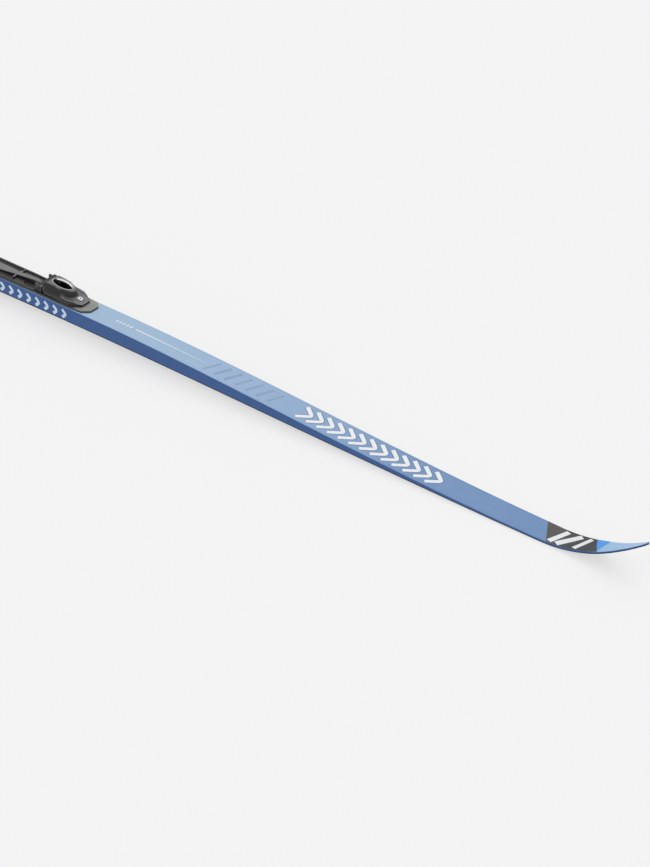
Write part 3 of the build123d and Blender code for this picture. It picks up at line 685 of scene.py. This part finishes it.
@dataclass
class SkiBody:
    """The ski's long form and its skins. Sizes are in millimetres."""

    tip: float = CAD_BOX[1].x / MM
    tail: float = CAD_BOX[0].x / MM
    ground: float = CAD_BOX[0].z / MM
    top_z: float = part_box("binding_base")[0].z / MM
    zone_front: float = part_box("binding_reinforcement")[1].x / MM
    zone_rear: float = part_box("binding_reinforcement")[0].x / MM
    front_share: float = 0.86
    rear_back: float = 85.0
    peak: float = 80.0
    camber: float = 11.0
    tip_rise: float = 59.0
    tail_rise: float = 5.0
    thin: float = 4.0
    power: float = 2.2
    waist: float = 22.0
    shoulder: float = 24.0
    tail_half: float = 22.5
    base_sheet: float = 1.2
    topsheet: float = 0.5
    lacquer_round: float = 0.22
    wall: float = 2.2
    wall_inset: float = 0.2
    wall_bulge: float = 0.25
    groove_half: float = 1.5
    groove_depth: float = 0.8
    groove_margin: float = 70.0
    groove_run: float = 12.0
    steps: int = 360
    crowding: float = 0.13
    half: Callable[[float], float] = field(init=False)

    def __post_init__(self) -> None:
        """Work out the contact points and the plan outline."""
        self.front_contact = self.front_share * self.tip
        self.rear_contact = self.tail + self.rear_back
        run = self.tip - self.front_contact
        self.half = through([
            (self.tail, self.tail_half * 0.15),
            (self.tail + 1.5, self.tail_half * 0.42),
            (self.tail + 5, self.tail_half * 0.6),
            (self.tail + 18, self.tail_half * 0.84),
            (self.tail + 42, self.tail_half * 0.96),
            (self.tail + 90, self.tail_half),
            (-330.0, self.waist + 0.4),
            (20.0, self.waist),
            (self.tip * 0.45, self.shoulder),
            (self.front_contact - 20, self.waist + 0.4),
            (self.front_contact + run * 0.45, self.waist * 0.81),
            (self.front_contact + run * 0.8, self.waist * 0.38),
            (self.tip - 2.5, 1.9),
            (self.tip - 0.7, 1.0),
            (self.tip, 0.05),
        ])

    def base(self, x: float) -> float:
        """Return the running surface's height at x."""
        if x > self.front_contact:
            share = (x - self.front_contact) / (self.tip - self.front_contact)
            return self.ground + self.tip_rise * share**2
        if x < self.rear_contact:
            share = (self.rear_contact - x) / (self.rear_contact - self.tail)
            return self.ground + self.tail_rise * share**2
        end = self.front_contact if x > self.peak else self.rear_contact
        u = (x - self.peak) / (end - self.peak)
        return self.ground + self.camber * max(0.0, 1 - u * u) ** 2

    def top(self, x: float) -> float:
        """Return the top's height at x."""
        if self.zone_rear <= x <= self.zone_front:
            return self.top_z
        ahead = x > 0
        zone = self.zone_front if ahead else self.zone_rear
        contact = self.front_contact if ahead else self.rear_contact
        extra = self.top_z - self.base(zone) - self.thin
        s = clamp((x - zone) / (contact - zone))
        return self.base(x) + self.thin + extra * (1 - s) ** self.power * (1 + self.power * s)

    def station(self, share: float) -> float:
        """Return x for a share of the length, with closer steps at the ends."""
        eased = share - self.crowding * math.sin(2 * math.pi * share)
        return self.tail + (self.tip - self.tail) * clamp(eased)

    def skin(self) -> bpy.types.Object:
        """Build the printed top."""

        def place(u: float, v: float) -> Vector:
            x = self.station(u)
            return Vector((x, (2 * v - 1) * self.half(x), self.top(x))) * MM

        piece = grid("topsheet_skin", self.steps, 8, place)
        thicken(piece, self.topsheet, -1.0)
        bevel(piece, self.lacquer_round)
        settle(piece, 40)
        return finish_piece(piece, PRINT, Body.SKI, "topsheet", ["topsheet"])

    def running_base(self) -> bpy.types.Object:
        """Build the running base with its groove."""
        edge, gap = self.groove_half, 0.15
        lines = [-1.0, -0.75, -0.4, -edge - gap, -edge, 0.0, edge, edge + gap, 0.4, 0.75, 1.0]
        groove_rear = self.rear_contact + self.groove_margin
        groove_front = self.front_contact - self.groove_margin

        def place(u: float, v: float) -> Vector:
            x = self.station(u)
            mark = lines[round(v * (len(lines) - 1))]
            inner = abs(mark) in (edge, edge + gap)
            y = mark if inner else mark * self.half(x)
            y = max(-self.half(x), min(self.half(x), y))
            fade = smooth_step((x - groove_rear) / self.groove_run)
            fade *= smooth_step((groove_front - x) / self.groove_run)
            rise = self.groove_depth * fade if abs(mark) <= edge and (inner or mark == 0.0) else 0.0
            return Vector((x, y, self.base(x) + rise)) * MM

        piece = grid("running_base_skin", self.steps, len(lines) - 1, place)
        thicken(piece, self.base_sheet, 1.0)
        settle(piece, 30)
        return finish_piece(piece, RUNNING, Body.SKI, "base_sheet", ["running_base"])

    def sidewall(self, side: Side) -> bpy.types.Object:
        """Build the sidewall of one side."""
        name = f"sidewall_{side.name.lower()}"
        low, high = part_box(name)
        start, end = low.x / MM, high.x / MM

        def place(u: float, v: float) -> Vector:
            x = start + (end - start) * u
            bottom = self.base(x) + self.base_sheet
            ceiling = self.top(x) - self.topsheet
            y = self.half(x) - self.wall_inset + self.wall_bulge * math.sin(math.pi * v)
            return Vector((x, side.value * min(y, self.half(x) + 0.02), bottom + (ceiling - bottom) * v)) * MM

        piece = grid(f"{name}_skin", self.steps, 8, place)
        thicken(piece, self.wall, side.value)
        settle(piece, 40)
        return finish_piece(piece, SIDEWALL, Body.SKI, "sidewall", [name])

    def build(self) -> None:
        """Build the skins and dress what stays."""
        self.skin()
        self.running_base()
        for side in Side:
            self.sidewall(side)
        for node in ("tip_spacer", "tail_spacer"):
            dress(node, SIDEWALL)
        dress("tail_guard", NYLON)
        for node in ("bottom_laminate", "top_laminate", "binding_reinforcement"):
            dress(node, LAMINATE)
        dress("core", CORE)


# ---------------------------------------------------------------- printed graphics


@dataclass
class Graphics:
    """Printed shapes on the top and the sides, all plain bars, chevrons and lines."""

    ski: SkiBody
    film: float = 0.05
    low_ink: float = 0.05
    high_ink: float = 0.10
    side_ink: float = 0.08
    side_drop: float = 1.0

    def ribbon(
        self, path: Path, width: Callable[[float], float], steps: int, lift: float, side: Side | None = None
    ) -> bpy.types.Object:
        """Lay a band of ink along a path on the top or on one side.

        Args:
            path: from a share to (x, y) in millimetres, or to (x, height above the middle) on a side.
            width: the band's width at a share.
            steps: steps along the path.
            lift: height above the surface.
            side: the side, or nothing for the top.

        Returns:
            The band, closed and very thin.
        """

        def place(u: float, v: float) -> Vector:
            x, y = path(u)
            ahead, behind = path(min(1.0, u + 0.01)), path(max(0.0, u - 0.01))
            along = Vector((ahead[0] - behind[0], ahead[1] - behind[1])).normalized()
            off = (v - 0.5) * width(u)
            x, y = x - along.y * off, y + along.x * off
            if side is None:
                return Vector((x, y, self.ski.top(x) + lift)) * MM
            middle = (self.ski.base(x) + self.ski.top(x)) / 2 - self.side_drop
            return Vector((x, side.value * (self.ski.half(x) + lift), middle + y)) * MM

        piece = grid("ribbon", steps, 4, place)
        thicken(piece, self.film, -1.0)
        return piece

    def patch(self, corner: Callable[[float, float], tuple[float, float]], steps: int, lift: float,
              name: str) -> bpy.types.Object:
        """Lay a four-sided patch of ink on the top, held inside the ski's edges."""

        def place(u: float, v: float) -> Vector:
            x, share = corner(u, v)
            return Vector((x, share * self.ski.half(x), self.ski.top(x) + lift)) * MM

        piece = grid(name, steps, 10, place)
        thicken(piece, self.film, -1.0)
        return piece

    @staticmethod
    def chevron(x: float, reach: float, height: float, bluntness: float = 0.02) -> Path:
        """Return the path of a chevron that points to the tip, with a rounded point."""

        def path(u: float) -> tuple[float, float]:
            t = 2 * u - 1
            bend = math.sqrt(t * t + bluntness) / math.sqrt(1 + bluntness)
            return x + reach * (1 - bend), height * t

        return path

    def chevrons(self) -> None:
        """Build the long row of large chevrons with their darker halos."""
        count, start, end, height = 13, 520.0, 763.0, 15.5
        white, halo = [], []
        for i in range(count):
            x = start + (end - start) * i / (count - 1)
            path = self.chevron(x, 21.0, height)
            halo.append(self.ribbon(path, lambda u: 9.6, 28, self.low_ink))
            white.append(self.ribbon(path, lambda u: 6.8, 28, self.high_ink))
        self.ink(join(halo, "chevron_halos"), HALO_INK)
        self.ink(join(white, "chevrons"), WHITE_INK)

    def centre_line(self) -> None:
        """Build the dashes and the line that thins out ahead of the binding."""
        dashes = []
        for i in range(5):
            x = 149.0 + 7.2 * i
            dashes.append(self.ribbon(
                lambda u, x=x: (x + 2.2 * u, -3.0 + 6.0 * u), lambda u: 2.3, 4, self.low_ink))
        self.ink(join(dashes, "centre_dashes"), WHITE_INK)
        start, long, wide, fine = 188.0, 146.0, 1.9, 0.12
        line = self.ribbon(
            lambda u: (start + long * u, 0.0), lambda u: wide * (1 - u) ** 0.7 + fine, 60, self.low_ink)
        line.name = "centre_line"
        self.ink(line, WHITE_INK)

    def ghosts(self) -> None:
        """Build the faint slanted bars between the line and the chevrons."""
        bars = []
        for i in range(7):
            x = 338.0 + 21.0 * i
            bars.append(self.ribbon(lambda u, x=x: (x + 12.0 * u, -15.0 + 30.0 * u),
                                    lambda u, i=i: 4.0 + 1.0 * (i % 3), 10, self.low_ink))
        self.ink(join(bars, "ghost_bars"), GHOST_INK)

    def tip_band(self) -> None:
        """Build the black band before the tip, its white peaks and the bright flash after it."""
        band_start, band_end, lean = 971.0, 1056.0, 13.0
        reach = 0.985

        def band(u: float, v: float) -> tuple[float, float]:
            side = 2 * v - 1
            x = band_start + (band_end - band_start) * u - lean * side * (1 - 0.2 * u)
            return x, side * reach

        def flash(u: float, v: float) -> tuple[float, float]:
            side = reach - 1.75 * reach * v
            x = band_end - lean * 0.8 * side
            return x + (24.0 * (1 - v)) * u, side

        self.ink(self.patch(band, 30, self.low_ink, "tip_band"), BLACK_INK)
        self.ink(self.patch(flash, 12, self.low_ink, "tip_flash"), SKY_INK)
        marks = []
        for x, sweep, width in ((992.0, 6.0, 9.0), (1010.0, 12.0, 11.0), (1033.0, 6.0, 8.0)):
            path = self.peak_path(x, sweep)
            marks.append(self.ribbon(path, lambda u, width=width: width, 20, self.high_ink))
        self.ink(join(marks, "tip_marks"), WHITE_INK)

    def peak_path(self, x: float, sweep: float) -> Path:
        """Return a slanted path across the ski, which stays inside its edges."""

        def path(u: float) -> tuple[float, float]:
            place = x + sweep * (2 * u - 1)
            return place, (2 * u - 1) * self.ski.half(place) * 0.8

        return path

    def side_chevrons(self, side: Side) -> None:
        """Build the row of chevrons along one sidewall beside the binding."""
        count, start, pitch = 11, 52.0, 19.0
        made = []
        for i in range(count):
            path = self.chevron(start - pitch * i, 10.5, 7.0, 0.16)
            band = self.ribbon(path, lambda u: 5.2, 20, self.side_ink, side)
            settle(band, 40)
            made.append(band)
        self.ink(join(made, f"side_chevrons_{side.name.lower()}"), PALE_INK)

    def ink(self, piece: bpy.types.Object, finish: Finish) -> None:
        """Close a printed piece and dress it."""
        settle(piece, 40)
        slot = "topsheet" if not piece.name.startswith("side") else "sidewall"
        finish_piece(piece, finish, Body.SKI, slot)

    def build(self) -> None:
        """Build every printed piece."""
        self.chevrons()
        self.centre_line()
        self.ghosts()
        self.tip_band()
        for side in Side:
            self.side_chevrons(side)


# ---------------------------------------------------------------- lever


@dataclass
class Lever:
    """The lever's sculpted shell with its window, collar, grip strip and plate. Sizes are in millimetres."""

    rear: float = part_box("lever")[0].x / MM
    nose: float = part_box("lever")[1].x / MM
    half_width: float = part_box("lever")[1].y / MM
    low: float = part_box("lever")[0].z / MM
    high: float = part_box("lever")[1].z / MM
    wall: float = 1.7
    window_x: float = 35.5
    window_long: float = 19.0
    window_wide: float = 9.5
    collar: float = 2.6
    nose_half: float = 10.0
    hump_half: float = 14.0
    hump_end: float = 65.0
    flank_z: float = 1.6
    blend_x: float = 38.0
    blend_run: float = 16.0
    hollow_depth: float = 1.5
    hollow_y: float = 11.0
    hollow_wide: float = 5.0
    spine_height: float = 0.5
    spine_y: float = 5.2
    edge_roll: float = 0.8
    strip_width: float = 2.8
    strip_thick: float = 1.1
    strip_from: float = 24.0
    strip_turn: float = 132.0
    plate_thick: float = 0.6
    hinge_x: float = 20.0
    hinge_z: float = 9.0

    def __post_init__(self) -> None:
        """Make the crest, wing, plan and skirt lines."""
        nose, high, rear, low = self.nose, self.high, self.rear, self.low
        self.crest = through([
            (rear, high - 0.9), (rear + 2.5, high), (34.0, high - 1.0), (self.window_x + 21, high - 3.6),
            (self.hump_end, high - 6.0),
        ])
        self.wing = through([
            (40.0, 4.2), (50.0, 3.2), (60.0, 2.4), (70.0, 1.9), (nose - 6, -0.6), (nose, -2.4),
        ])
        self.half = through([
            (rear, self.half_width), (30.0, self.half_width - 0.2), (60.0, self.half_width - 1.4),
            (72.0, self.half_width - 5.2), (nose - 4, self.nose_half + 1.8), (nose, self.nose_half - 1.0),
        ])
        self.skirt = through([
            (rear, 7.0), (17.0, 2.2), (32.0, low + 2.5), (52.0, low + 0.2), (nose, low + 0.1),
        ])

    def surface(self, x: float, y: float) -> float:
        """Return the height of the outside: a hump round the window, and wings to the nose."""
        half, crest, wing = self.half(x), self.crest(x), self.wing(x)
        reach = abs(y)
        flank = crest
        if reach > self.hump_half:
            down = (reach - self.hump_half) / max(1.0, half - self.hump_half)
            flank = crest - (crest - self.flank_z) * down
        else:
            flank -= 0.5 * (reach / self.hump_half) ** 6
        ahead = max(0.0, x - self.window_x) / (self.hump_end - self.window_x)
        far = math.hypot(ahead, y / self.hump_half)
        hump = (crest - wing) * smooth_step((1.04 - far) / 0.20)
        hollow = self.hollow_depth * math.exp(-(((reach - self.hollow_y) / self.hollow_wide) ** 2))
        hollow *= smooth_step((x - 46) / 8)
        hollow *= smooth_step((self.nose + 2 - x) / 12) * clamp((far - 0.8) / 0.3)
        centre = 1.0 * (1 - clamp(reach / half) ** 2) * clamp((far - 0.9) / 0.3)
        from_spine = reach - self.spine_y + 0.16 * max(0.0, x - self.hump_end)
        spine = self.spine_height * math.exp(-(from_spine / 0.8) ** 2)
        spine *= smooth_step((x - self.hump_end + 2) / 4) * smooth_step((self.nose - 2 - x) / 6)
        front = wing + hump - hollow - centre + spine
        share = smooth_step((x - self.blend_x) / self.blend_run)
        edge = self.edge_roll * clamp(reach / half) ** 14
        return flank + (front - flank) * share - edge

    def shell(self) -> bpy.types.Object:
        """Build the shell and cut its window."""
        steps, across, turn_in, past_nose = 150, 128, 0.86, 0.06

        def place(u: float, v: float) -> Vector:
            row = u * (1 + past_nose)
            x = self.rear + (self.nose - self.rear) * clamp(row)
            fall = max(0.0, row - 1.0) / past_nose
            s = 2 * v - 1
            y = math.copysign(min(1.0, abs(s) / turn_in), s) * self.half(x)
            z = self.surface(x, y)
            bottom = min(self.skirt(x), z - 0.6)
            z -= (z - bottom) * smooth_step((abs(s) - turn_in) / (1 - turn_in))
            z -= (z - bottom) * fall * 0.9
            return Vector((x, y * (1 - 0.02 * fall), max(z, self.low))) * MM

        piece = grid("lever_shell", steps, across, place)
        apply_modifier(piece, "SOLIDIFY", thickness=self.wall * MM, offset=-1.0, use_even_offset=False)
        settle(piece, 30)
        cutter = self.oval_post("window_cutter", 0.0)
        apply_modifier(piece, "BOOLEAN", object=cutter, operation="DIFFERENCE", solver="EXACT")
        bpy.data.objects.remove(cutter)
        settle(piece, 30)
        return piece

    def oval_post(self, name: str, grow: float) -> bpy.types.Object:
        """Return an upright oval post at the window, wider by grow."""
        deselect()
        bpy.ops.mesh.primitive_cylinder_add(vertices=72, radius=1.0, depth=2.0)
        piece = bpy.context.object
        piece.name = name
        for vertex in piece.data.vertices:
            x = self.window_x + vertex.co.x * (self.window_long + grow)
            y = vertex.co.y * (self.window_wide + grow)
            vertex.co = Vector((x, y, 6.0 + vertex.co.z * 14.0)) * MM
        return piece

    def rim(self) -> bpy.types.Object:
        """Build the collar round the window, from a ring with a rounded section."""
        deselect()
        bpy.ops.mesh.primitive_torus_add(
            major_segments=96, minor_segments=14, major_radius=1.0, minor_radius=0.2)
        piece = bpy.context.object
        piece.name = "lever_collar_rim"
        middle = self.collar / 2
        for vertex in piece.data.vertices:
            turn = math.atan2(vertex.co.y, vertex.co.x)
            out = (math.hypot(vertex.co.x, vertex.co.y) - 1.0) / 0.2
            up = vertex.co.z / 0.2
            x = self.window_x + (self.window_long + middle + out * middle) * math.cos(turn)
            y = (self.window_wide + middle + out * middle) * math.sin(turn)
            z = self.crest(x) + (0.95 * up if up > 0 else 1.6 * up)
            vertex.co = Vector((x, y, z)) * MM
        settle(piece, 60)
        return piece

    def strip(self) -> bpy.types.Object:
        """Build the white crescent along the window's left side."""
        fit = 0.1

        def place(u: float, v: float) -> Vector:
            turn = math.radians(self.strip_from + self.strip_turn * u)
            taper = math.sin(math.pi * u) ** 0.35
            inward = self.strip_width * v * taper
            x = self.window_x + (self.window_long - fit - inward * 0.6) * math.cos(turn)
            y = (self.window_wide - fit) * math.sin(turn) - inward
            return Vector((x, y, self.crest(x) + 0.7 - 0.9 * v)) * MM

        piece = grid("lever_grip_inlay", 40, 6, place)
        thicken(piece, self.strip_thick, -1.0)
        bevel(piece, 0.2)
        settle(piece, 40)
        return piece

    def plate(self) -> list[bpy.types.Object]:
        """Build the small plain plate on the nose, with a plain dark bar on it."""
        low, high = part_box("lever_badge")
        made = []
        for name, grow, lift in (("lever_plate", 1.15, 0.35), ("lever_plate_bar", 0.42, 0.5)):
            reach_x = (high.x - low.x) / MM / 2 * grow
            reach_y = (high.y - low.y) / MM / 2 * grow * (1.2 if grow < 1.0 else 1.0)
            middle = (high.x + low.x) / MM / 2

            def place(u: float, v: float) -> Vector:
                x = middle + (2 * u - 1) * reach_x
                y = (2 * v - 1) * reach_y
                return Vector((x, y, self.surface(x, y) + lift)) * MM

            piece = grid(name, 8, 8, place)
            thicken(piece, self.plate_thick, -1.0)
            bevel(piece, 0.12)
            settle(piece, 40)
            made.append(piece)
        return made

    @staticmethod
    def post(side: Side, x: float, z: float, radius: float, inner: float, outer: float) -> bpy.types.Object:
        """Build one short round post across the ski, from its inner to its outer end."""
        deselect()
        bpy.ops.mesh.primitive_cylinder_add(
            vertices=40, radius=radius * MM, depth=(outer - inner) * MM,
            location=(x * MM, side.value * (inner + outer) / 2 * MM, z * MM), rotation=(math.pi / 2, 0, 0))
        bpy.ops.object.transform_apply(location=True, rotation=True, scale=True)
        piece = bpy.context.object
        bevel(piece, 0.3)
        return piece

    @staticmethod
    def web(side: Side, middle: Sequence[float], size: Sequence[float]) -> bpy.types.Object:
        """Build one flat web from its middle and its size."""
        deselect()
        bpy.ops.mesh.primitive_cube_add(
            size=1.0, location=(middle[0] * MM, side.value * middle[1] * MM, middle[2] * MM))
        piece = bpy.context.object
        piece.scale = Vector(size) * MM
        bpy.ops.object.transform_apply(location=True, rotation=True, scale=True)
        bevel(piece, 0.3)
        return piece

    def inside(self) -> bpy.types.Object:
        """Build the bosses, ears and webs inside the shell, which hold the two pins."""
        low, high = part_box("drive_pin")
        drive_x, drive_z = (low.x + high.x) / 2 / MM, (low.z + high.z) / 2 / MM
        boss = (self.hinge_x, self.hinge_z, 2.6, 14.1, 15.4)
        ear = (drive_x, drive_z, 2.4, 6.2, 8.2)
        ear_web = ((0.5 * (self.hinge_x + drive_x) - 2.2, 7.2, 9.0), (5.0, 1.8, 7.2))
        boss_web = ((15.4, 14.7, 5.2), (6.4, 1.0, 7.2))
        made = []
        for side in Side:
            made += [self.post(side, *sizes) for sizes in (boss, ear)]
            made += [self.web(side, *sizes) for sizes in (ear_web, boss_web)]
        piece = join(made, "lever_ears")
        choose(piece)
        bpy.ops.object.shade_smooth_by_angle(angle=math.radians(40))
        return piece

    def build(self) -> None:
        """Build the lever's pieces."""
        finish_piece(self.shell(), LEVER_NYLON, Body.LEVER, "lever_plastic", ["lever"])
        finish_piece(self.inside(), LEVER_NYLON, Body.LEVER, "lever_plastic")
        finish_piece(self.rim(), COLLAR, Body.LEVER, "collar", ["lever_collar"])
        finish_piece(self.strip(), WHITE_PLASTIC, Body.LEVER, "marking_white", ["lever_grip_strip"])
        plate, bar = self.plate()
        finish_piece(plate, WHITE_PLASTIC, Body.LEVER, "marking_white", ["lever_badge"])
        finish_piece(bar, DARK_INK, Body.LEVER, "lever_plastic")
        dress("drive_pin", BLACK_STEEL)


# ---------------------------------------------------------------- binding


@dataclass
class Binding:
    """The binding's fixed pieces and its latch."""

    rounding: float = 0.35
    jaw_travel: float = 5.8

    def spring(self) -> None:
        """Build the spring from a smooth-shaded copy of the CAD spring, which keeps its CAD shape; on the
        binding it shortens towards the bulkhead as the jaw slides.
        """
        piece = copied("jaw_spring", flatten=False)
        choose(piece)
        bpy.ops.object.shade_smooth_by_angle(angle=math.radians(50))
        finish_piece(piece, BLACK_STEEL, Body.SKI, "steel", ["jaw_spring"])
        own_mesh(piece)

    def build(self) -> None:
        """Round the moulded pieces and dress the steel ones."""
        self.spring()
        for node, finish, slot, radius in (
            ("binding_base", BASE_NYLON, "binding_plastic", self.rounding),
            ("boot_plate", PLATE_NYLON, "binding_plastic", self.rounding),
            ("heel_plate", PLATE_NYLON, "binding_plastic", self.rounding),
            ("flexor", RUBBER, "rubber", self.rounding * 0.6),
            ("heel_pad", RUBBER, "rubber", self.rounding),
        ):
            piece = softened(node, radius * MM)
            finish_piece(piece, finish, Body.SKI, slot, [node])
        for node in ("toe_bar_saddle", "latch_jaw"):
            body = Body.JAW if node == "latch_jaw" else Body.SKI
            finish = BLACK_STEEL if node == "latch_jaw" else STEEL
            finish_piece(softened(node, 0.2 * MM), finish, body, "steel", [node])
        for node in ("hinge_pins", "base_screws", "plate_screws", "heel_screws"):
            dress(node, BLACK_STEEL)


# ---------------------------------------------------------------- studio


@dataclass
class Studio:
    """Floor, light and camera."""

    place: tuple[float, float, float] = (2.78848, -2.94648, 2.41775)
    right: tuple[float, float, float] = (0.789178, 0.613771, 0.02197)
    down: tuple[float, float, float] = (0.355361, -0.427158, -0.831418)
    lens: float = 121.85
    floor_tone: float = 0.30
    floor_glow: float = 0.62
    sky_strength: float = 0.72
    key_strength: float = 0.85
    key_spread: float = 50.0

    def camera(self) -> None:
        """Set up the camera."""
        right, up = Vector(self.right).normalized(), -Vector(self.down).normalized()
        back = right.cross(up)
        turn = Matrix((right, up, back)).transposed().to_4x4()
        data = bpy.data.cameras.new("camera")
        data.lens = self.lens
        data.sensor_width = 36.0
        data.clip_end = 100.0
        eye = bpy.data.objects.new("camera", data)
        eye.matrix_world = Matrix.Translation(self.place) @ turn
        bpy.context.scene.collection.objects.link(eye)
        bpy.context.scene.camera = eye

    def floor(self) -> None:
        """Lay a plain pale floor."""
        deselect()
        bpy.ops.mesh.primitive_plane_add(size=60.0, location=(0.0, 0.0, CAD_BOX[0].z - 0.0003))
        floor = bpy.context.object
        floor.name = "floor"
        paper = bpy.data.materials.new("floor_paper")
        paper.use_nodes = True
        glossy = paper.node_tree.nodes["Principled BSDF"]
        glossy.inputs["Base Color"].default_value = (self.floor_tone,) * 3 + (1.0,)
        glossy.inputs["Emission Color"].default_value = (1.0, 1.0, 1.0, 1.0)
        glossy.inputs["Emission Strength"].default_value = self.floor_glow
        glossy.inputs["Roughness"].default_value = 0.9
        glossy.inputs["Specular IOR Level"].default_value = 0.0
        floor.data.materials.append(paper)

    def lights(self) -> None:
        """Hang the soft lights."""
        world = bpy.data.worlds.new("studio")
        world.use_nodes = True
        world.node_tree.nodes["Background"].inputs[0].default_value = (1.0, 1.0, 1.0, 1.0)
        world.node_tree.nodes["Background"].inputs[1].default_value = self.sky_strength
        bpy.context.scene.world = world
        data = bpy.data.lights.new("key", "SUN")
        data.energy = self.key_strength
        data.angle = math.radians(self.key_spread)
        lamp = bpy.data.objects.new("key", data)
        lamp.rotation_euler = Vector((0.25, -0.75, -1.0)).to_track_quat("-Z", "Y").to_euler()
        bpy.context.scene.collection.objects.link(lamp)

    def build(self) -> None:
        """Set up the whole studio."""
        bpy.context.scene.view_settings.view_transform = "Standard"
        self.camera()
        self.floor()
        self.lights()


def main() -> None:
    """Build the ski in order."""
    logging.basicConfig(level=logging.INFO, format="%(name)s %(message)s")
    Studio().build()
    ski = SkiBody()
    ski.build()
    Graphics(ski).build()
    Lever().build()
    Binding().build()


if __name__ == "__main__":
    main()
